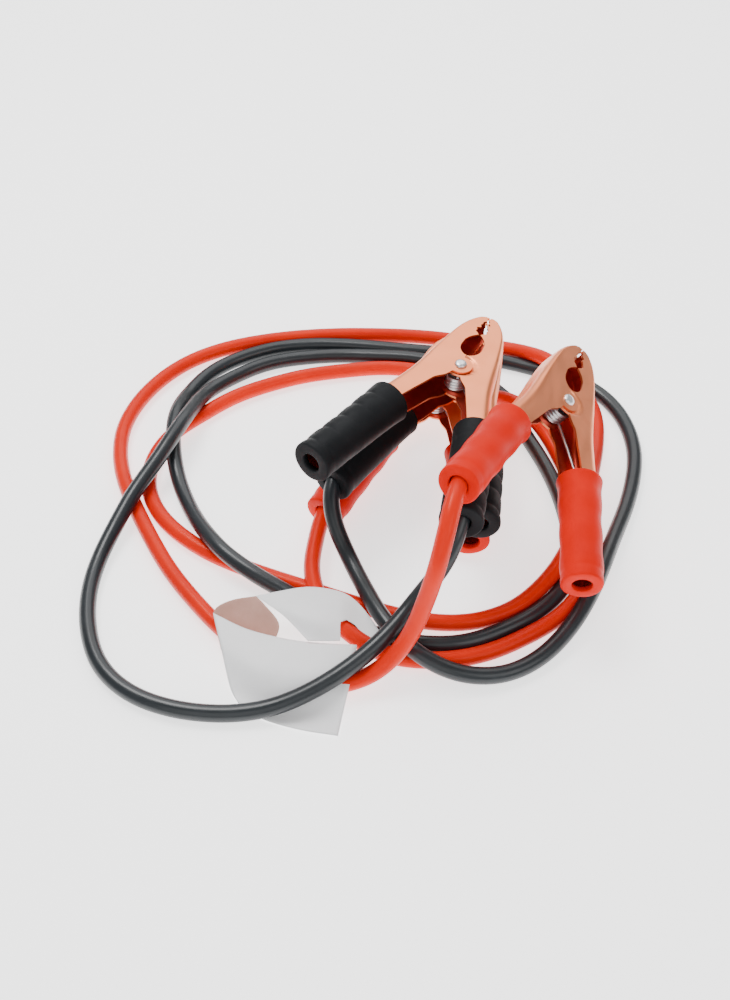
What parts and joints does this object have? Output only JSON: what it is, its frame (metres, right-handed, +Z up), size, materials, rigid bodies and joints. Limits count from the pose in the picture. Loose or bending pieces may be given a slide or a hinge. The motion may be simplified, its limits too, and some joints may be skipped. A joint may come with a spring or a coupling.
{
  "type": "jumper cable set",
  "caption": "Pair of battery jumper cables, looped in a pile, with sprung copper-plated clamps stacked on top and a paper tag round the strands",
  "frame": {"origin": "on the surface, below the middle of the four clamps' bounding box", "axes": "+Z up, +Y away from the viewer along the clamps toward their jaws, +X to the right"},
  "size_m": [0.2924, 0.2837, 0.0972],
  "materials": {
    "red_jacket": "glossy",
    "black_jacket": "glossy",
    "copper_strand": "bare strands",
    "tag_paper": "smooth uncoated",
    "copper_plate": "thin copper plating, satin",
    "bright_steel": "zinc plated",
    "red_vinyl": "soft satin",
    "black_vinyl": "soft matt"
  },
  "bodies": {
    "pile": {"red_cable": "red_jacket", "black_cable": "black_jacket", "red_conductor_ends": "copper_strand", "black_conductor_ends": "copper_strand", "paper_tag": "tag_paper", "red1_cable_half": "copper_plate", "red1_rivet": "bright_steel", "red1_spring": "bright_steel", "red1_cable_grip": "red_vinyl", "red1_crimp": "copper_plate", "black1_cable_half": "copper_plate", "black1_rivet": "bright_steel", "black1_spring": "bright_steel", "black1_cable_grip": "black_vinyl", "black1_crimp": "copper_plate", "black2_cable_half": "copper_plate", "black2_rivet": "bright_steel", "black2_spring": "bright_steel", "black2_cable_grip": "black_vinyl", "black2_crimp": "copper_plate", "red2_cable_half": "copper_plate", "red2_rivet": "bright_steel", "red2_spring": "bright_steel", "red2_cable_grip": "red_vinyl", "red2_crimp": "copper_plate"},
    "red1_free_arm": {"red1_free_half": "copper_plate", "red1_free_grip": "red_vinyl"},
    "black1_free_arm": {"black1_free_half": "copper_plate", "black1_free_grip": "black_vinyl"},
    "black2_free_arm": {"black2_free_half": "copper_plate", "black2_free_grip": "black_vinyl"},
    "red2_free_arm": {"red2_free_half": "copper_plate", "red2_free_grip": "red_vinyl"}
  },
  "joints": [
    {"name": "red1_opening", "type": "hinge", "parent": "pile", "child": "red1_free_arm", "pos_m": [0.0529, 0.001, 0.0598], "axis": [-0.5903, 0.1353, -0.7958], "range_deg": [0, 25], "stiffness_Nm_per_rad": 1.5, "springref_deg": -45.84, "deforming": ["red1_spring"]},
    {"name": "black1_opening", "type": "hinge", "parent": "pile", "child": "black1_free_arm", "pos_m": [0.0042, 0.0254, 0.0598], "axis": [0.0956, -0.0128, 0.9953], "range_deg": [0, 25], "stiffness_Nm_per_rad": 1.5, "springref_deg": -45.84, "deforming": ["black1_spring"]},
    {"name": "black2_opening", "type": "hinge", "parent": "pile", "child": "black2_free_arm", "pos_m": [0.009, 0.0458, 0.0373], "axis": [0.0069, 0.0179, -0.9998], "range_deg": [0, 25], "stiffness_Nm_per_rad": 1.5, "springref_deg": -45.84, "deforming": ["black2_spring"]},
    {"name": "red2_opening", "type": "hinge", "parent": "pile", "child": "red2_free_arm", "pos_m": [-0.0037, 0.0551, 0.0172], "axis": [0.0182, 0.0673, -0.9976], "range_deg": [0, 24], "stiffness_Nm_per_rad": 1.5, "springref_deg": -45.84, "deforming": ["red2_spring"]}
  ]
}
